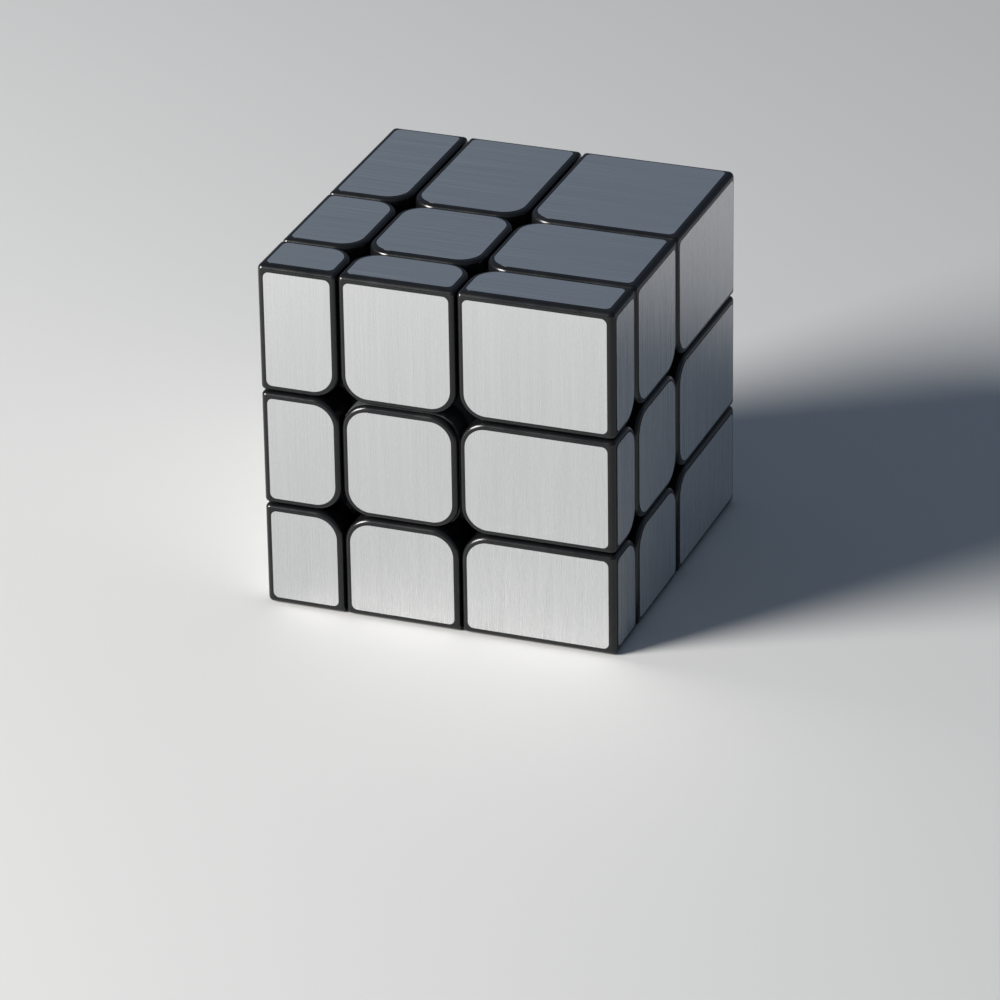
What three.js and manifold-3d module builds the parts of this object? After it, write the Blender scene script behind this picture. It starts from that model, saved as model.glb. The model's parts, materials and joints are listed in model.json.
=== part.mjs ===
// Mirror block cube: a 3 x 3 x 3 turning puzzle whose layers all differ in thickness.
//
// Millimetres, +Z up. The origin is the middle of the bottom face, the thin front layer faces -Y
// and the thick right layer faces +X. Everything turns about the core, which is off the middle of
// the cube because the layers differ. The pieces are therefore built around the core's centre,
// in one group that is placed at the end.
//
// How it holds together: six screws and springs pull the centre hubs onto the core. The heads of
// the hubs cover the feet of the edges, and the edges cover the feet of the corners. Outside
// SHELL_RADIUS the pieces are parted by planes at HALF_MIDDLE from the core, and inside
// FOOT_RADIUS by planes at FOOT_CUT, so that each outer layer turns as one.

import * as THREE from "three";
import { mergeVertices } from "three/addons/utils/BufferGeometryUtils.js";
import Module from "manifold-3d";

const wasm = await Module();
wasm.setup();

// The cube and its layers. The middle layer is equally thick along all three axes.
const CUBE = 57;
const MIDDLE_LAYER = 19;
const LEFT_LAYER = 13;
const FRONT_LAYER = 10;
const BOTTOM_LAYER = 17;
const HALF_MIDDLE = MIDDLE_LAYER / 2;

// Gaps: each piece stays half of the working gap behind each plane that parts two layers.
const HALF_GAP = 0.15;
const FITTED_GAP = 0.3;
const TURNING_GAP = 0.4;

// Blocks: moulded shells, rounded where four of them meet.
const WALL = 1.8;
const CROSSING_RADIUS = 4;

// The round mechanism inside.
const SHELL_RADIUS = 18.4;
const FOOT_RADIUS = SHELL_RADIUS - TURNING_GAP;
const FOOT_INNER_RADIUS = 12.6;
const FOOT_CUT = 5.5;
const STEM_RADIUS = 20.2;

// Along each arm of the core, as distances from the core's centre.
const CORE_BALL_RADIUS = 4.2;
const ARM_RADIUS = 2.9;
const ARM_END = 7;
const SCREW_END = 3;
const SCREW_HOLE_END = 2.6;
const HUB_START = ARM_END + TURNING_GAP;
const HUB_FLOOR = 9.4;
const WASHER_START = 14;
const HEAD_START = 14.9;
const HEAD_END = 16.6;
const HUB_END = 18.3;
const CAP_START = HUB_END + FITTED_GAP;

// Across each arm.
const SCREW_RADIUS = 1.1;
const SCREW_HOLE_RADIUS = SCREW_RADIUS + FITTED_GAP;
const HEAD_RADIUS = 2.6;
const WASHER_RADIUS = 2.9;
const WASHER_THICKNESS = 0.6;
const POCKET_RADIUS = 3.5;
const HUB_COLUMN_RADIUS = FOOT_CUT - FITTED_GAP;
const SPIGOT_RADIUS = POCKET_RADIUS - FITTED_GAP;
const SPIGOT_BORE_RADIUS = 2;

// Springs.
const COIL_RADIUS = 2.2;
const WIRE_RADIUS = 0.35;
const COIL_TURNS = 3.5;

// Corner plugs, as distances along the corner's diagonal and radii around it.
const PLUG_START = 15;
const PLUG_END = 26.5;
const PLUG_RADIUS = 2.2;
const SOCKET_RADIUS = PLUG_RADIUS + FITTED_GAP;
const BOSS_RADIUS = 3.7;

// How finely round shapes are faceted. An arc in an outline gets two facets for each segment.
const SPHERE_SEGMENTS = 32;
const ROUND_SEGMENTS = 12;
const ARC_SEGMENTS = 2;
const WIRE_SEGMENTS = 3;
const COIL_STEPS_PER_TURN = 10;

const AXES = ["x", "y", "z"];
const WORDS = {
  x: { "-1": "left", 1: "right" },
  y: { "-1": "front", 1: "back" },
  z: { "-1": "down", 1: "up" },
};
const UP = new THREE.Vector3(0, 0, 1);

// The core's centre, and the cube's faces as seen from there.
const CORE = new THREE.Vector3(
  LEFT_LAYER + HALF_MIDDLE - CUBE / 2,
  FRONT_LAYER + HALF_MIDDLE - CUBE / 2,
  BOTTOM_LAYER + HALF_MIDDLE,
);
const LOW = new THREE.Vector3(-CUBE / 2, -CUBE / 2, 0).sub(CORE);
const HIGH = new THREE.Vector3(CUBE / 2, CUBE / 2, CUBE).sub(CORE);

// ---- Solids, and joining and cutting them ----

function solid(geometry) {
  const bare = geometry.clone();
  bare.deleteAttribute("normal");
  bare.deleteAttribute("uv");
  const merged = mergeVertices(bare, 1e-4);
  return new wasm.Manifold(new wasm.Mesh({
    numProp: 3,
    vertProperties: new Float32Array(merged.attributes.position.array),
    triVerts: new Uint32Array(merged.index.array),
  }));
}

function geometryOf(body) {
  const mesh = body.getMesh();
  const geometry = new THREE.BufferGeometry();
  geometry.setAttribute("position", new THREE.BufferAttribute(mesh.vertProperties, mesh.numProp));
  geometry.setIndex(new THREE.BufferAttribute(mesh.triVerts, 1));
  geometry.computeVertexNormals();
  return geometry;
}

function box(low, high) {
  const size = high.clone().sub(low);
  const middle = low.clone().add(high).multiplyScalar(0.5);
  return solid(new THREE.BoxGeometry(size.x, size.y, size.z).translate(middle.x, middle.y, middle.z));
}

function ball(radius, segments) {
  return solid(new THREE.SphereGeometry(radius, segments, segments / 2));
}

// A round bar from one distance to another along a direction from the core's centre.
function bar(radius, start, end, direction = UP) {
  const geometry = new THREE.CylinderGeometry(radius, radius, end - start, ROUND_SEGMENTS);
  geometry.rotateX(Math.PI / 2);
  geometry.translate(0, 0, (start + end) / 2);
  const turn = new THREE.Quaternion().setFromUnitVectors(UP, direction);
  return solid(geometry.applyQuaternion(turn));
}

// A closed shape turned about +Z, from its [radius, height] corners.
function turned(corners) {
  const closed = [...corners, corners[0]];
  const points = closed.map(([radius, height]) => new THREE.Vector2(radius, height));
  return new THREE.LatheGeometry(points, ROUND_SEGMENTS).rotateX(Math.PI / 2);
}

// ---- The grid of pieces: a cell has -1, 0 or 1 on each axis ----

function cellName(cell) {
  const sides = ["z", "y", "x"].filter((axis) => cell[axis] !== 0);
  return sides.map((axis) => WORDS[axis][cell[axis]]).join("_");
}

// The stretch of one axis that a cell's block takes up, drawn in from the cuts by the gap.
function stretch(cell, axis) {
  if (cell[axis] < 0) return [LOW[axis], -HALF_MIDDLE - HALF_GAP];
  if (cell[axis] > 0) return [HALF_MIDDLE + HALF_GAP, HIGH[axis]];
  return [-HALF_MIDDLE + HALF_GAP, HALF_MIDDLE - HALF_GAP];
}

// The same for the foot: nearer the core, and as far out as the round shell reaches.
function footStretch(cell, axis) {
  const near = FOOT_CUT + HALF_GAP;
  if (cell[axis] < 0) return [-SHELL_RADIUS, -near];
  if (cell[axis] > 0) return [near, SHELL_RADIUS];
  return [-FOOT_CUT + HALF_GAP, FOOT_CUT - HALF_GAP];
}

function boxOfStretches(stretches, inset = 0) {
  const low = new THREE.Vector3(...stretches.map(([start]) => start + inset));
  const high = new THREE.Vector3(...stretches.map(([, end]) => end - inset));
  return box(low, high);
}

// A rectangle with a radius for each corner: low-low, high-low, high-high, low-high.
function rectangle([left, right], [bottom, top], radii) {
  const shape = new THREE.Shape();
  const corners = [[left, bottom, 1, 1], [right, bottom, -1, 1], [right, top, -1, -1], [left, top, 1, -1]];
  corners.forEach(([x, y, inX, inY], index) => {
    const radius = radii[index];
    const start = Math.PI + (index * Math.PI) / 2;
    if (index === 0) shape.moveTo(x, y + radius);
    if (radius === 0) shape.lineTo(x, y);
    else shape.absarc(x + inX * radius, y + inY * radius, radius, start, start + Math.PI / 2, false);
  });
  return shape;
}

// A cell's block as seen along one axis, extruded along that axis. A corner of the outline is
// rounded where four blocks meet, which is where both of its sides are cuts between layers.
function prism(cell, axis) {
  const across = AXES[(AXES.indexOf(axis) + 1) % 3];
  const upward = AXES[(AXES.indexOf(axis) + 2) % 3];
  const isCut = (direction, side) => cell[direction] !== side;
  const sides = [[-1, -1], [1, -1], [1, 1], [-1, 1]];
  const radii = sides.map(([u, v]) => (isCut(across, u) && isCut(upward, v) ? CROSSING_RADIUS : 0));
  const outline = rectangle(stretch(cell, across), stretch(cell, upward), radii);
  const [start, end] = stretch(cell, axis);
  const options = { depth: end - start, bevelEnabled: false, curveSegments: ARC_SEGMENTS };
  const geometry = new THREE.ExtrudeGeometry(outline, options).translate(0, 0, start);
  const unit = (name) => new THREE.Vector3(name === "x", name === "y", name === "z");
  return solid(geometry.applyMatrix4(new THREE.Matrix4().makeBasis(unit(across), unit(upward), unit(axis))));
}

// The outside of a block: the prisms seen along every axis on which it shows a face.
function blockOutside(cell) {
  const prisms = AXES.filter((axis) => cell[axis] !== 0).map((axis) => prism(cell, axis));
  return prisms.reduce((whole, next) => whole.intersect(next));
}

function foot(cell) {
  const room = boxOfStretches(AXES.map((axis) => footStretch(cell, axis)));
  return room.intersect(ball(FOOT_RADIUS, SPHERE_SEGMENTS)).subtract(ball(FOOT_INNER_RADIUS, ROUND_SEGMENTS));
}

// ---- The sub-parts ----

// A six-armed spider with a blind screw hole in each arm.
function coreSpider() {
  const directions = AXES.flatMap((axis) => [-1, 1].map((side) => {
    const direction = new THREE.Vector3();
    direction[axis] = side;
    return direction;
  }));
  const arms = directions.map((direction) => bar(ARM_RADIUS, 0, ARM_END, direction));
  const holes = directions.map((direction) => bar(SCREW_HOLE_RADIUS, SCREW_HOLE_END, ARM_END + 1, direction));
  const whole = arms.reduce((body, arm) => body.add(arm), ball(CORE_BALL_RADIUS, ROUND_SEGMENTS));
  return geometryOf(holes.reduce((body, hole) => body.subtract(hole), whole));
}

// A pan-head screw with a cross recess.
function screw() {
  const tip = 0.6;
  const dome = 0.7;
  const recessDepth = 0.9;
  const recessLength = 2.8;
  const recessWidth = 0.6;
  const body = solid(turned([
    [0, SCREW_END],
    [SCREW_RADIUS - tip, SCREW_END],
    [SCREW_RADIUS, SCREW_END + tip],
    [SCREW_RADIUS, HEAD_START],
    [HEAD_RADIUS, HEAD_START],
    [HEAD_RADIUS, HEAD_END - dome],
    [HEAD_RADIUS - dome, HEAD_END],
    [0, HEAD_END],
  ]));
  const slot = new THREE.BoxGeometry(recessLength, recessWidth, 2 * recessDepth).translate(0, 0, HEAD_END);
  const crossSlot = slot.clone().rotateZ(Math.PI / 2);
  return geometryOf(body.subtract(solid(slot)).subtract(solid(crossSlot)));
}

class Helix extends THREE.Curve {
  getPoint(t, target = new THREE.Vector3()) {
    const start = HUB_FLOOR + FITTED_GAP + WIRE_RADIUS;
    const end = WASHER_START - FITTED_GAP - WIRE_RADIUS;
    const angle = 2 * Math.PI * COIL_TURNS * t;
    return target.set(COIL_RADIUS * Math.cos(angle), COIL_RADIUS * Math.sin(angle), start + (end - start) * t);
  }
}

function spring() {
  const section = new THREE.Shape();
  section.absarc(0, 0, WIRE_RADIUS, 0, 2 * Math.PI, false);
  return geometryOf(solid(new THREE.ExtrudeGeometry(section, {
    steps: COIL_TURNS * COIL_STEPS_PER_TURN,
    curveSegments: WIRE_SEGMENTS,
    extrudePath: new Helix(),
  })));
}

function washer() {
  return geometryOf(solid(turned([
    [SCREW_HOLE_RADIUS, WASHER_START],
    [WASHER_RADIUS, WASHER_START],
    [WASHER_RADIUS, WASHER_START + WASHER_THICKNESS],
    [SCREW_HOLE_RADIUS, WASHER_START + WASHER_THICKNESS],
  ])));
}

// A square head with a round hollow underneath, on a column with a pocket for the spring.
function centreHub() {
  const half = HALF_MIDDLE - HALF_GAP;
  const outline = rectangle([-half, half], [-half, half], Array(4).fill(CROSSING_RADIUS));
  const options = { depth: HUB_END - HUB_START, bevelEnabled: false, curveSegments: ARC_SEGMENTS };
  const head = solid(new THREE.ExtrudeGeometry(outline, options).translate(0, 0, HUB_START));
  return geometryOf(head
    .subtract(ball(SHELL_RADIUS, SPHERE_SEGMENTS))
    .add(bar(HUB_COLUMN_RADIUS, HUB_START, HUB_END))
    .subtract(bar(POCKET_RADIUS, HUB_FLOOR, HUB_END + 1))
    .subtract(bar(SCREW_HOLE_RADIUS, HUB_START - 1, HUB_FLOOR + 1)));
}

// A lid over the hub: a hollow block with a tube in its middle that plugs into the hub.
function centreCap(reach) {
  const half = HALF_MIDDLE - HALF_GAP;
  const outline = rectangle([-half, half], [-half, half], Array(4).fill(CROSSING_RADIUS));
  const options = { depth: reach - CAP_START, bevelEnabled: false, curveSegments: ARC_SEGMENTS };
  let cap = solid(new THREE.ExtrudeGeometry(outline, options).translate(0, 0, CAP_START));
  if (reach - CAP_START > WALL) {
    const inside = half - WALL;
    const low = new THREE.Vector3(-inside, -inside, CAP_START - 1);
    cap = cap.subtract(box(low, new THREE.Vector3(inside, inside, reach - WALL)));
  }
  const topSkin = Math.min(WALL, reach - CAP_START) / 2;
  return geometryOf(cap
    .add(bar(SPIGOT_RADIUS, HEAD_END + FITTED_GAP, reach - topSkin))
    .subtract(bar(SPIGOT_BORE_RADIUS, HEAD_END, Math.max(CAP_START, reach - WALL))));
}

// A hollow block joined by a stem to its foot. The hollow opens inward, on both sides of the stem.
function edge(cell) {
  const stretches = AXES.map((axis) => stretch(cell, axis));
  const narrow = AXES.map((axis) => (cell[axis] === 0 ? footStretch(cell, axis) : stretch(cell, axis)));
  const stem = boxOfStretches(narrow).intersect(ball(STEM_RADIUS, ROUND_SEGMENTS));
  return geometryOf(blockOutside(cell)
    .subtract(boxOfStretches(stretches, WALL))
    .subtract(ball(SHELL_RADIUS, SPHERE_SEGMENTS))
    .add(stem)
    .add(foot(cell)));
}

function diagonal(cell) {
  return new THREE.Vector3(cell.x, cell.y, cell.z).normalize();
}

// A hollow block with a boss inside that takes the plug of the corner's foot.
function cornerBlock(cell) {
  const stretches = AXES.map((axis) => stretch(cell, axis));
  const boss = bar(BOSS_RADIUS, 0, PLUG_END, diagonal(cell));
  const hollow = boxOfStretches(stretches, WALL).subtract(boss);
  const socket = bar(SOCKET_RADIUS, 0, PLUG_END + FITTED_GAP, diagonal(cell));
  return geometryOf(blockOutside(cell).subtract(hollow).subtract(socket));
}

// A piece of the round shell with a plug, for the corner at the high end of all three axes.
function cornerFoot() {
  const cell = { x: 1, y: 1, z: 1 };
  const room = boxOfStretches(AXES.map((axis) => stretch(cell, axis)));
  const plug = bar(PLUG_RADIUS, PLUG_START, PLUG_END, diagonal(cell)).intersect(room);
  return geometryOf(foot(cell).add(plug));
}

// ---- The assembly ----

function blackPlastic() {
  return new THREE.MeshStandardMaterial({ color: 0x0d0e11, roughness: 0.3, metalness: 0 });
}

function innerPlastic() {
  return new THREE.MeshStandardMaterial({ color: 0x1b1c20, roughness: 0.6, metalness: 0 });
}

function corePlastic() {
  return new THREE.MeshStandardMaterial({ color: 0x4a4c50, roughness: 0.5, metalness: 0 });
}

function steel() {
  return new THREE.MeshStandardMaterial({ color: 0xb9bcc0, roughness: 0.3, metalness: 1 });
}

function named(name, geometry, material) {
  const mesh = new THREE.Mesh(geometry, material);
  mesh.name = name;
  return mesh;
}

const mechanism = new THREE.Group();
mechanism.position.copy(CORE);
mechanism.add(named("core", coreSpider(), corePlastic()));

const screwGeometry = screw();
const springGeometry = spring();
const washerGeometry = washer();
const hubGeometry = centreHub();
const cornerFootGeometry = cornerFoot();

function addCentre(cell) {
  const name = cellName(cell);
  const axis = AXES.find((candidate) => cell[candidate] !== 0);
  const reach = Math.abs(cell[axis] < 0 ? LOW[axis] : HIGH[axis]);
  const arm = new THREE.Group();
  arm.quaternion.setFromUnitVectors(UP, new THREE.Vector3(cell.x, cell.y, cell.z));
  arm.add(named(`${name}_screw`, screwGeometry, steel()));
  arm.add(named(`${name}_spring`, springGeometry, steel()));
  arm.add(named(`${name}_washer`, washerGeometry, steel()));
  arm.add(named(`${name}_centre_hub`, hubGeometry, innerPlastic()));
  arm.add(named(`${name}_centre_cap`, centreCap(reach), blackPlastic()));
  mechanism.add(arm);
}

function addCorner(cell) {
  const name = cellName(cell);
  const cornerFootMesh = named(`${name}_corner_foot`, cornerFootGeometry, innerPlastic());
  cornerFootMesh.scale.set(cell.x, cell.y, cell.z);
  mechanism.add(cornerFootMesh);
  mechanism.add(named(`${name}_corner_block`, cornerBlock(cell), blackPlastic()));
}

for (const x of [-1, 0, 1]) {
  for (const y of [-1, 0, 1]) {
    for (const z of [-1, 0, 1]) {
      const cell = { x, y, z };
      const faces = AXES.filter((axis) => cell[axis] !== 0).length;
      if (faces === 1) addCentre(cell);
      if (faces === 2) mechanism.add(named(`${cellName(cell)}_edge`, edge(cell), blackPlastic()));
      if (faces === 3) addCorner(cell);
    }
  }
}

const cube = new THREE.Group();
cube.add(mechanism);

export default cube;
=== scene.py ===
"""Mirror block cube: the visual model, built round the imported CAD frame.

Blocks are the CAD solids cut to a smoothly filleted outside, so that they keep the hollows, bosses
and feet of the CAD. Each facet is a thin plate of brushed silver foil that rides on its block.
Shapes are made in millimetres, in the row frame, and turned into metres at the end.
"""

import json
import math
import random

import bmesh
import bpy
from mathutils import Matrix, Vector


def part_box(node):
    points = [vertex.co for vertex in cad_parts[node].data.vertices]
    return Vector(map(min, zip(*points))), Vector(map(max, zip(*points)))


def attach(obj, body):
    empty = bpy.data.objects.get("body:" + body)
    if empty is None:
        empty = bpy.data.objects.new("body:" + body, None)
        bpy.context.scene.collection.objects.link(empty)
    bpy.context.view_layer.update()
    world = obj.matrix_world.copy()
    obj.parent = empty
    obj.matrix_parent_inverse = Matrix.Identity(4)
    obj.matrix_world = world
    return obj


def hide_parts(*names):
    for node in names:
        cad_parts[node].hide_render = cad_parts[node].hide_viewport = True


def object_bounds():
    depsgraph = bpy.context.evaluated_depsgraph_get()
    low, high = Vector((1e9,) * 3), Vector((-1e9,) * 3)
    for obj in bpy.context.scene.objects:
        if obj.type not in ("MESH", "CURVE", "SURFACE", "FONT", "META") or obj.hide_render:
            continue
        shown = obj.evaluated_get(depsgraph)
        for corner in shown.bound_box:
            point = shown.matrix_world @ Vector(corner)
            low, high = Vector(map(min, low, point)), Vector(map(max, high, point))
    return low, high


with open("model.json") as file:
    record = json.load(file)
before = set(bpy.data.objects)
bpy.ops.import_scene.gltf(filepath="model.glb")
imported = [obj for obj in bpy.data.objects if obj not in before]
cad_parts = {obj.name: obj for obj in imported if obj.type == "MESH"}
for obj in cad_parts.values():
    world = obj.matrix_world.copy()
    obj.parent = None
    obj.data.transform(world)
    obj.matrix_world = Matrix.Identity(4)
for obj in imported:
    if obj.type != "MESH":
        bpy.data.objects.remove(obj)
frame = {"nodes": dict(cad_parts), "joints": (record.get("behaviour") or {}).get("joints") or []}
CAD_LOW, CAD_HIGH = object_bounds()

# ---- Sizes, in millimetres ----

MM = 0.001
FOIL = 0.05  # thickness of a facet's foil, which stands on the block's face
SKIN = 0.03  # how far a block's inner faces stay inside the CAD solid
CROSSING_RADIUS = 4.3  # round edges of a block where four blocks meet
OUTER_FILLET = 0.9  # round edges along the edges of the cube
RIM_FILLET = 0.65  # round edges along the cuts between blocks
FOOT_REACH = 18.2  # from the core, past the round feet and short of the hollow that they turn in
FOIL_INSET_AT_CUT = 0.95  # from the block's side to its foil
FOIL_INSET_OUTSIDE = 1.15
FOIL_CROSSING_RADIUS = 3.4
FOIL_CORNER_RADIUS = 0.9
JOIN_DISTANCE = 0.001  # vertices that are nearer to each other than this are made one

# ---- How finely round shapes are made ----

CROSSING_SEGMENTS = 12
FILLET_SEGMENTS = 5
FOIL_ARC_SEGMENTS = 12
FOOT_SUBDIVISIONS = 4
SHARP_ANGLE = math.radians(57)
SMOOTH_ANGLE = math.radians(32)
SQUARE_ON = 0.999  # how nearly a normal follows an axis when its face lies square on that axis

# ---- The foil's grain ----

GRAIN_SEED = 7
GRAIN_REACH = 500  # each facet starts somewhere in this many millimetres of grain, each way

# A facet's material slots.
SILVER_SLOT = 0
BLACK_SLOT = 1

# ---- The view and the light, in metres and degrees ----

CAMERA_AZIMUTH = 20.73
CAMERA_ELEVATION = 26.12
CAMERA_ROLL = -0.9
CAMERA_DISTANCE = 0.9146
CAMERA_AIM = Vector((0.0022, -0.0075, 0.0126))
CAMERA_CLIP_START = 0.01
LENS = 212.9  # in millimetres
KEY_AZIMUTH = -48
KEY_ELEVATION = 25
KEY_DISTANCE = 1.1
KEY_SIZE = 0.5
KEY_POWER = 27  # in watts
KEY_COLOUR = (1, 0.975, 0.93)
SKY_COLOUR = (0.6, 0.76, 1.0, 1)
SKY_STRENGTH = 0.185
FLOOR_COLOUR = (0.6, 0.6, 0.6, 1)
FLOOR_SIZE = 4
FLOOR_DROP = 0.00005  # keeps the floor off the facets that lie on it

AXES = "xyz"
UP_AXIS = 2
SIDE_WORDS = {
    "x": {-1: "left", 1: "right"},
    "y": {-1: "front", 1: "back"},
    "z": {-1: "down", 1: "up"},
}
CORE = Vector(frame["joints"][0]["pos_m"]) / MM


# ---- The grid of blocks: a cell has -1, 0 or 1 on each axis ----


def cell_name(cell):
    """Names a block from its place: up or down first, then front or back, then left or right."""
    named = [(axis, cell[AXES.index(axis)]) for axis in "zyx"]
    return "_".join(SIDE_WORDS[axis][side] for axis, side in named if side)


def all_cells():
    cells = [(x, y, z) for x in (-1, 0, 1) for y in (-1, 0, 1) for z in (-1, 0, 1)]
    return [cell for cell in cells if any(cell)]


def layer_stretches():
    """For each axis, the stretches of its low, middle and high blocks, read from the CAD blocks."""
    low_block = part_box("down_front_left_corner_block")
    high_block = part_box("up_back_right_corner_block")
    up_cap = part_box("up_centre_cap")
    front_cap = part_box("front_centre_cap")
    stretches = []
    for axis in range(3):
        cap = front_cap if axis == UP_AXIS else up_cap
        blocks = (low_block, cap, high_block)
        stretches.append([(low[axis] / MM, high[axis] / MM) for low, high in blocks])
    return stretches


STRETCHES = layer_stretches()


def block_limits(cell):
    """Low and high corner of a block's smooth outside, inside the CAD solid by the foil or skin."""
    low, high = [], []
    for axis, side in enumerate(cell):
        start, end = STRETCHES[axis][side + 1]
        low.append(start + (FOIL if side < 0 else SKIN))
        high.append(end - (FOIL if side > 0 else SKIN))
    return Vector(low), Vector(high)


# ---- Mesh work ----


def object_from(bm, name):
    """A new object with this mesh, which is used up."""
    mesh = bpy.data.meshes.new(name)
    bm.to_mesh(mesh)
    bm.free()
    piece = bpy.data.objects.new(name, mesh)
    bpy.context.collection.objects.link(piece)
    return piece


def box_mesh(low, high):
    bm = bmesh.new()
    bmesh.ops.create_cube(bm, size=1)
    size = high - low
    for vert in bm.verts:
        vert.co = Vector((low[i] + (vert.co[i] + 0.5) * size[i] for i in range(3)))
    return bm


def round_edges(bm, edges, radius, segments):
    bmesh.ops.bevel(bm, geom=edges, offset=radius, offset_type="OFFSET", segments=segments,
                    profile=0.5, affect="EDGES", clamp_overlap=True)
    bm.normal_update()


def shows_outside(face, cell):
    """Whether a flat face lies on the outside of the cube."""
    return any(side and face.normal[axis] * side > SQUARE_ON for axis, side in enumerate(cell))


def smooth_block(cell):
    """A block's outside: strongly round where blocks meet, and finely filleted elsewhere."""
    bm = box_mesh(*block_limits(cell))
    bm.normal_update()
    inner = [e for e in bm.edges if not any(shows_outside(f, cell) for f in e.link_faces)]
    round_edges(bm, inner, CROSSING_RADIUS, CROSSING_SEGMENTS)
    outer = [e for e in bm.edges if all(shows_outside(f, cell) for f in e.link_faces)]
    if outer:
        round_edges(bm, outer, OUTER_FILLET, FILLET_SEGMENTS)
    rim = [e for e in bm.edges if e.calc_face_angle() > SHARP_ANGLE]
    round_edges(bm, rim, RIM_FILLET, FILLET_SEGMENTS)
    return bm


def cad_solid(node):
    """A copy of a CAD node's mesh in millimetres, with its vertices joined."""
    bm = bmesh.new()
    bm.from_mesh(frame["nodes"][node].data)
    bm.transform(Matrix.Scale(1 / MM, 4))
    bmesh.ops.remove_doubles(bm, verts=bm.verts, dist=JOIN_DISTANCE)
    return bm


def combine(piece, tool, operation):
    """Joins or cuts a piece with a tool, which is used up."""
    modifier = piece.modifiers.new("combine", "BOOLEAN")
    modifier.operation = operation
    modifier.solver = "MANIFOLD"
    modifier.object = tool
    depsgraph = bpy.context.evaluated_depsgraph_get()
    result = bpy.data.meshes.new_from_object(piece.evaluated_get(depsgraph))
    piece.modifiers.clear()
    piece.data = result
    bpy.data.objects.remove(tool)


def join_near_vertices(mesh):
    """Joins vertices that all but coincide, so that no edge or face is left without a size."""
    bm = bmesh.new()
    bm.from_mesh(mesh)
    bmesh.ops.remove_doubles(bm, verts=bm.verts, dist=JOIN_DISTANCE)
    bm.to_mesh(mesh)
    bm.free()


def finish_shape(piece):
    """Turns a piece into metres and shades it: flat faces stay flat and fillets run smoothly."""
    piece.data.transform(Matrix.Scale(MM, 4))
    piece.data.shade_smooth()
    piece.data.set_sharp_from_angle(angle=SMOOTH_ANGLE)
    weighted = piece.modifiers.new("weighted_normals", "WEIGHTED_NORMAL")
    weighted.keep_sharp = True
    return piece


def block(cell, node, name):
    """The CAD node of a block, cut to its smooth outside. An edge's foot is kept as it is."""
    outside = object_from(smooth_block(cell), "outside")
    if node.endswith("_edge"):
        feet = bmesh.new()
        place = Matrix.Translation(CORE)
        bmesh.ops.create_icosphere(feet, subdivisions=FOOT_SUBDIVISIONS, radius=FOOT_REACH, matrix=place)
        combine(outside, object_from(feet, "feet"), "UNION")
    piece = object_from(cad_solid(node), name)
    combine(piece, outside, "INTERSECT")
    join_near_vertices(piece.data)
    return finish_shape(piece)


# ---- Foil facets ----


def is_cut(cell, axis, side):
    """Whether a block's side is a cut between two blocks, and not the outside of the cube."""
    return cell[axis] != side


def foil_stretch(cell, axis):
    """The stretch of one axis that the foil on a block takes up."""
    start, end = STRETCHES[axis][cell[axis] + 1]
    start_inset = FOIL_INSET_AT_CUT if is_cut(cell, axis, -1) else FOIL_INSET_OUTSIDE
    end_inset = FOIL_INSET_AT_CUT if is_cut(cell, axis, 1) else FOIL_INSET_OUTSIDE
    return start + start_inset, end - end_inset


def arc(centre, radius, start):
    """Points of a quarter circle, turning anticlockwise from an angle."""
    angles = [start + math.pi / 2 * i / FOIL_ARC_SEGMENTS for i in range(FOIL_ARC_SEGMENTS + 1)]
    return [centre + radius * Vector((math.cos(a), math.sin(a))) for a in angles]


def foil_outline(cell, across, along):
    """Points round a facet, whose corners are strongly round where four blocks meet."""
    left, right = foil_stretch(cell, across)
    bottom, top = foil_stretch(cell, along)
    corners = [(left, bottom, -1, -1), (right, bottom, 1, -1), (right, top, 1, 1), (left, top, -1, 1)]
    points = []
    for index, (u, v, side_u, side_v) in enumerate(corners):
        at_crossing = is_cut(cell, across, side_u) and is_cut(cell, along, side_v)
        radius = FOIL_CROSSING_RADIUS if at_crossing else FOIL_CORNER_RADIUS
        centre = Vector((u, v)) - radius * Vector((side_u, side_v))
        points += arc(centre, radius, math.pi + index * math.pi / 2)
    return points


def foil_plate(cell, axis, across, along):
    """The closed thin plate of one facet, standing on the block's face."""
    side = cell[axis]
    surface = STRETCHES[axis][side + 1][0 if side < 0 else 1]
    bm = bmesh.new()
    verts = []
    for u, v in foil_outline(cell, across, along):
        co = Vector((0, 0, 0))
        co[across], co[along], co[axis] = u, v, surface - side * FOIL
        verts.append(bm.verts.new(co))
    face = bm.faces.new(verts)
    bm.normal_update()
    if face.normal[axis] * side < 0:
        face.normal_flip()
    made = bmesh.ops.extrude_face_region(bm, geom=[face], use_keep_orig=True)
    top = [item for item in made["geom"] if isinstance(item, bmesh.types.BMVert)]
    lift = Vector((0, 0, 0))
    lift[axis] = side * FOIL
    bmesh.ops.translate(bm, verts=top, vec=lift)
    bmesh.ops.recalc_face_normals(bm, faces=bm.faces)
    return bm


def foil(cell, axis, dice):
    """The facet on one face of a block: silver on both faces and black on its cut edges.

    Its UV map runs across the grain in U and along it in V.
    """
    along = 0 if axis == UP_AXIS else UP_AXIS
    across = 3 - axis - along
    bm = foil_plate(cell, axis, across, along)
    offset = (dice.uniform(0, GRAIN_REACH), dice.uniform(0, GRAIN_REACH))
    layer = bm.loops.layers.uv.new("grain")
    for face in bm.faces:
        face.material_index = SILVER_SLOT if abs(face.normal[axis]) > SQUARE_ON else BLACK_SLOT
        for loop in face.loops:
            loop[layer].uv = (loop.vert.co[across] + offset[0], loop.vert.co[along] + offset[1])
    word = SIDE_WORDS[AXES[axis]][cell[axis]]
    return finish_shape(object_from(bm, f"{cell_name(cell)}_foil_{word}"))


# ---- Materials ----


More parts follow.
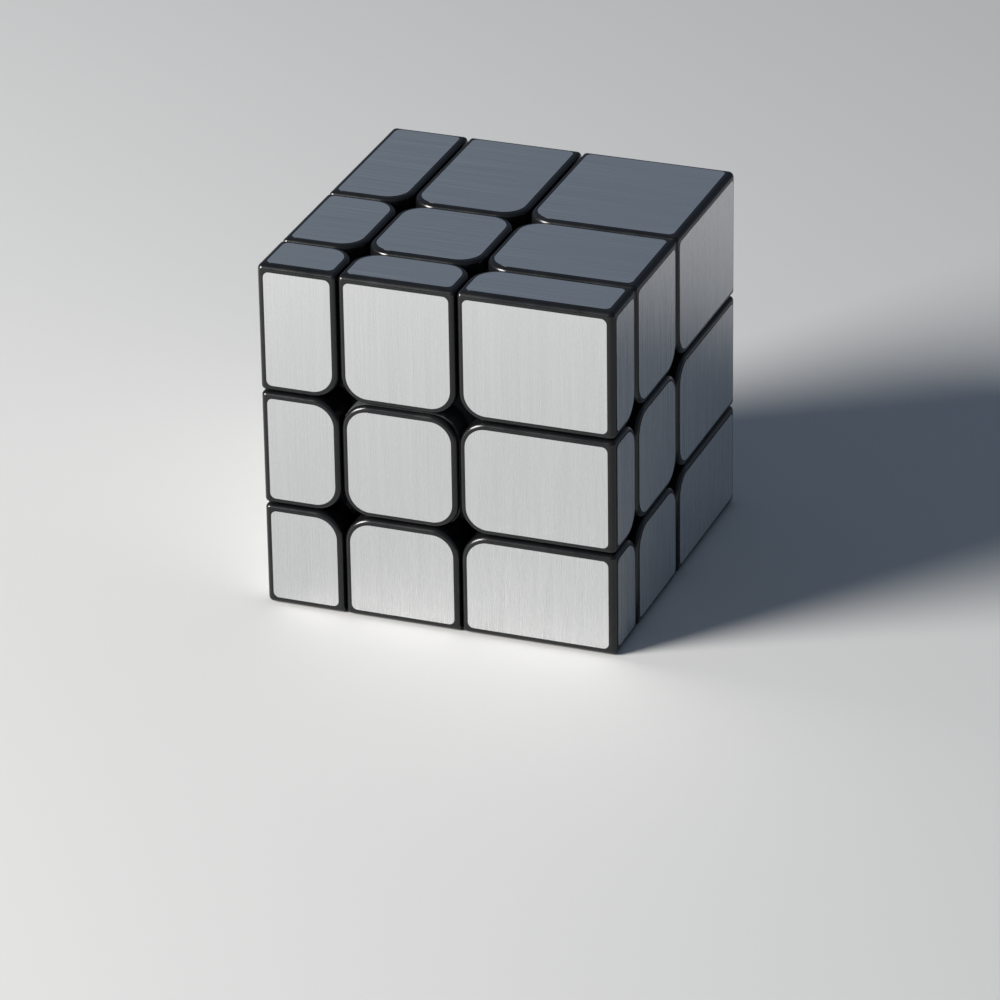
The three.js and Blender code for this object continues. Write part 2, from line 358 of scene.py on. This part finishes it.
class Nodes:
    """A material's node tree, with short calls to add and join nodes."""

    def __init__(self, name):
        self.material = bpy.data.materials.new(name)
        self.material.use_nodes = True
        self.tree = self.material.node_tree
        self.shader = self.tree.nodes["Principled BSDF"]

    def add(self, kind, **settings):
        node = self.tree.nodes.new(kind)
        for key, value in settings.items():
            setattr(node, key, value)
        return node

    def join(self, output, target):
        self.tree.links.new(output, target)

    def noise(self, coordinates, stretch, scale, detail, roughness):
        """Noise over one kind of texture coordinates, which are multiplied by stretch first."""
        source = self.add("ShaderNodeTexCoord")
        mapping = self.add("ShaderNodeMapping")
        mapping.inputs["Scale"].default_value = stretch
        self.join(source.outputs[coordinates], mapping.inputs["Vector"])
        node = self.add("ShaderNodeTexNoise")
        node.inputs["Scale"].default_value = scale
        node.inputs["Detail"].default_value = detail
        node.inputs["Roughness"].default_value = roughness
        self.join(mapping.outputs["Vector"], node.inputs["Vector"])
        return node.outputs["Fac"]

    def grain(self, scale, detail, roughness):
        """Noise that is alike in every direction, with scale cells to the millimetre."""
        return self.noise("Object", (1 / MM, 1 / MM, 1 / MM), scale, detail, roughness)

    def streaks(self, across, along, detail, roughness):
        """Noise drawn out along V, from its cells to the millimetre across and along."""
        return self.noise("UV", (across, along, 1), 1, detail, roughness)

    def spread(self, value, low, high, start=0.3, end=0.7):
        """Maps the stretch from start to end, where most noise values lie, onto low to high."""
        node = self.add("ShaderNodeMapRange")
        limits = {"From Min": start, "From Max": end, "To Min": low, "To Max": high}
        for key, number in limits.items():
            node.inputs[key].default_value = number
        self.join(value, node.inputs["Value"])
        return node.outputs["Result"]

    def multiply(self, first, second):
        node = self.add("ShaderNodeMath", operation="MULTIPLY")
        self.join(first, node.inputs[0])
        self.join(second, node.inputs[1])
        return node.outputs["Value"]

    def tint(self, value, dark, light):
        """The base colour, from dark where the value is 0 to light where it is 1."""
        node = self.add("ShaderNodeMix", data_type="RGBA")
        node.inputs["A"].default_value = (*dark, 1)
        node.inputs["B"].default_value = (*light, 1)
        self.join(value, node.inputs["Factor"])
        self.join(node.outputs["Result"], self.shader.inputs["Base Color"])

    def roughen(self, value):
        self.join(value, self.shader.inputs["Roughness"])

    def bump(self, height, distance):
        """Raises the surface by up to a distance in millimetres."""
        node = self.add("ShaderNodeBump")
        node.inputs["Strength"].default_value = 1
        node.inputs["Distance"].default_value = distance * MM
        self.join(height, node.inputs["Height"])
        self.join(node.outputs["Normal"], self.shader.inputs["Normal"])

    def set(self, **values):
        for key, value in values.items():
            self.shader.inputs[key.replace("_", " ")].default_value = value


def black_plastic():
    """Glossy black moulded plastic with faint smudges and a slightly wavy surface."""
    nodes = Nodes("black_gloss_plastic")
    smudges = nodes.grain(scale=0.22, detail=4, roughness=0.6)
    waves = nodes.grain(scale=0.35, detail=1, roughness=0.5)
    nodes.tint(nodes.spread(smudges, 0, 1), dark=(0.0045, 0.0047, 0.0055), light=(0.008, 0.0083, 0.0095))
    nodes.roughen(nodes.spread(smudges, 0.2, 0.28))
    nodes.bump(waves, distance=0.008)
    nodes.set(Specular_IOR_Level=0.4)
    return nodes.material


def grained(name, grain, dark, light, roughness, depth, metallic=0):
    """A finish whose colour, roughness and bump all follow one fine grain.

    grain holds what Nodes.grain takes, roughness its lowest and highest value, and depth the
    height of the bump in millimetres.
    """
    nodes = Nodes(name)
    marks = nodes.grain(**grain)
    nodes.tint(nodes.spread(marks, 0, 1), dark, light)
    nodes.roughen(nodes.spread(marks, *roughness))
    nodes.bump(marks, depth)
    nodes.set(Metallic=metallic)
    return nodes.material


def inner_plastic():
    """Dark satin plastic with the fine grain of a mould."""
    return grained(
        "inner_satin_plastic",
        grain={"scale": 6, "detail": 4, "roughness": 0.6},
        dark=(0.045, 0.046, 0.049),
        light=(0.065, 0.067, 0.071),
        roughness=(0.38, 0.52),
        depth=0.006,
    )


def core_plastic():
    """Dark grey plastic, duller and more coarsely grained."""
    return grained(
        "core_grey_plastic",
        grain={"scale": 4, "detail": 4, "roughness": 0.6},
        dark=(0.055, 0.057, 0.062),
        light=(0.085, 0.088, 0.094),
        roughness=(0.42, 0.58),
        depth=0.008,
    )


def steel(name, dark, light, roughness):
    """Steel with fine drawing marks."""
    grain = {"scale": 9, "detail": 5, "roughness": 0.65}
    return grained(name, grain, dark, light, roughness, depth=0.004, metallic=1)


def brushed_foil():
    """Silver foil brushed along V: fine streaks, broader bands and a stretched highlight."""
    nodes = Nodes("brushed_silver_foil")
    fine = nodes.streaks(across=7, along=0.035, detail=3, roughness=0.6)
    hairs = nodes.streaks(across=14, along=0.05, detail=2, roughness=0.5)
    bands = nodes.streaks(across=0.7, along=0.02, detail=3, roughness=0.6)
    shade = nodes.multiply(nodes.spread(fine, 0.955, 1.03), nodes.spread(bands, 0.98, 1.02))
    lightness = nodes.spread(shade, 0, 1, start=0.9, end=1.05)
    nodes.tint(lightness, dark=(0.68, 0.69, 0.7), light=(0.82, 0.825, 0.83))
    nodes.roughen(nodes.spread(fine, 0.25, 0.3))
    nodes.bump(hairs, distance=0.0005)
    tangent = nodes.add("ShaderNodeTangent", direction_type="UV_MAP", uv_map="grain")
    nodes.join(tangent.outputs["Tangent"], nodes.shader.inputs["Tangent"])
    nodes.set(Metallic=1, Anisotropic=0.7)
    return nodes.material


def pale_floor():
    """A matte floor, which adds no glare to the foil that mirrors it."""
    nodes = Nodes("pale_floor")
    nodes.set(Base_Color=FLOOR_COLOUR, Roughness=1, Specular_IOR_Level=0)
    return nodes.material


# ---- The object ----


def add_blocks(cells, black, silver):
    """Adds each block with its facets, on the body that carries it."""
    dice = random.Random(GRAIN_SEED)
    for cell in cells:
        name = cell_name(cell)
        kind = sum(map(abs, cell))
        node = f"{name}_" + {1: "centre_cap", 2: "edge", 3: "corner_block"}[kind]
        body = f"{name}_" + ("centre" if kind == 1 else "cubie")
        piece = block(cell, node, f"{name}_smooth_block")
        piece.data.materials.clear()
        piece.data.materials.append(black)
        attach(piece, body)
        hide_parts(node)
        for axis in range(3):
            if cell[axis]:
                facet = foil(cell, axis, dice)
                facet.data.materials.append(silver)
                facet.data.materials.append(black)
                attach(facet, body)


def dress_inner_nodes():
    """Gives the CAD nodes that stay their materials."""
    zinc = steel("zinc_plated_steel", (0.42, 0.43, 0.45), (0.62, 0.63, 0.64), (0.24, 0.38))
    spring_wire = steel("spring_steel", (0.3, 0.3, 0.31), (0.48, 0.48, 0.48), (0.2, 0.34))
    inner = inner_plastic()
    finishes = {
        "core": core_plastic(),
        "screw": zinc,
        "washer": zinc,
        "spring": spring_wire,
        "hub": inner,
        "foot": inner,
    }
    for name, node in frame["nodes"].items():
        finish = finishes.get(name.rsplit("_", 1)[-1])
        if finish:
            node.data.materials.clear()
            node.data.materials.append(finish)


# ---- The stage ----


def direction(azimuth, elevation):
    """Towards an azimuth, counted from the front to the right, and an elevation, in degrees."""
    azimuth, elevation = math.radians(azimuth), math.radians(elevation)
    return Vector((
        math.sin(azimuth) * math.cos(elevation),
        -math.cos(azimuth) * math.cos(elevation),
        math.sin(elevation),
    ))


def add_camera():
    data = bpy.data.cameras.new("camera")
    data.lens = LENS
    data.clip_start = CAMERA_CLIP_START
    camera = bpy.data.objects.new("camera", data)
    bpy.context.collection.objects.link(camera)
    back = direction(CAMERA_AZIMUTH, CAMERA_ELEVATION)
    camera.location = CAMERA_AIM + CAMERA_DISTANCE * back
    aim = (-back).to_track_quat("-Z", "Y").to_matrix().to_4x4()
    roll = Matrix.Rotation(math.radians(CAMERA_ROLL), 4, "Z")
    camera.rotation_mode = "QUATERNION"
    camera.rotation_quaternion = (aim @ roll).to_quaternion()
    bpy.context.scene.camera = camera


def add_floor():
    bm = bmesh.new()
    lowered = Matrix.Translation((0, 0, -FLOOR_DROP))
    bmesh.ops.create_grid(bm, x_segments=1, y_segments=1, size=FLOOR_SIZE, matrix=lowered)
    floor = object_from(bm, "floor")
    floor.data.materials.append(pale_floor())


def add_key_light():
    """A large round softbox, turned towards the middle of the cube."""
    data = bpy.data.lights.new("key", "AREA")
    data.shape = "DISK"
    data.size = KEY_SIZE
    data.energy = KEY_POWER
    data.color = KEY_COLOUR
    light = bpy.data.objects.new("key", data)
    bpy.context.collection.objects.link(light)
    light.location = KEY_DISTANCE * direction(KEY_AZIMUTH, KEY_ELEVATION)
    target = Vector((0, 0, CAD_HIGH.z / 2))
    light.rotation_mode = "QUATERNION"
    light.rotation_quaternion = (target - light.location).to_track_quat("-Z", "Y")


def add_sky():
    """Soft, even and slightly blue light from everywhere."""
    world = bpy.data.worlds.new("studio")
    world.use_nodes = True
    background = world.node_tree.nodes["Background"]
    background.inputs["Color"].default_value = SKY_COLOUR
    background.inputs["Strength"].default_value = SKY_STRENGTH
    bpy.context.scene.world = world


add_camera()
add_blocks(all_cells(), black_plastic(), brushed_foil())
dress_inner_nodes()
add_floor()
add_key_light()
add_sky()
bpy.context.scene.view_settings.view_transform = "Standard"
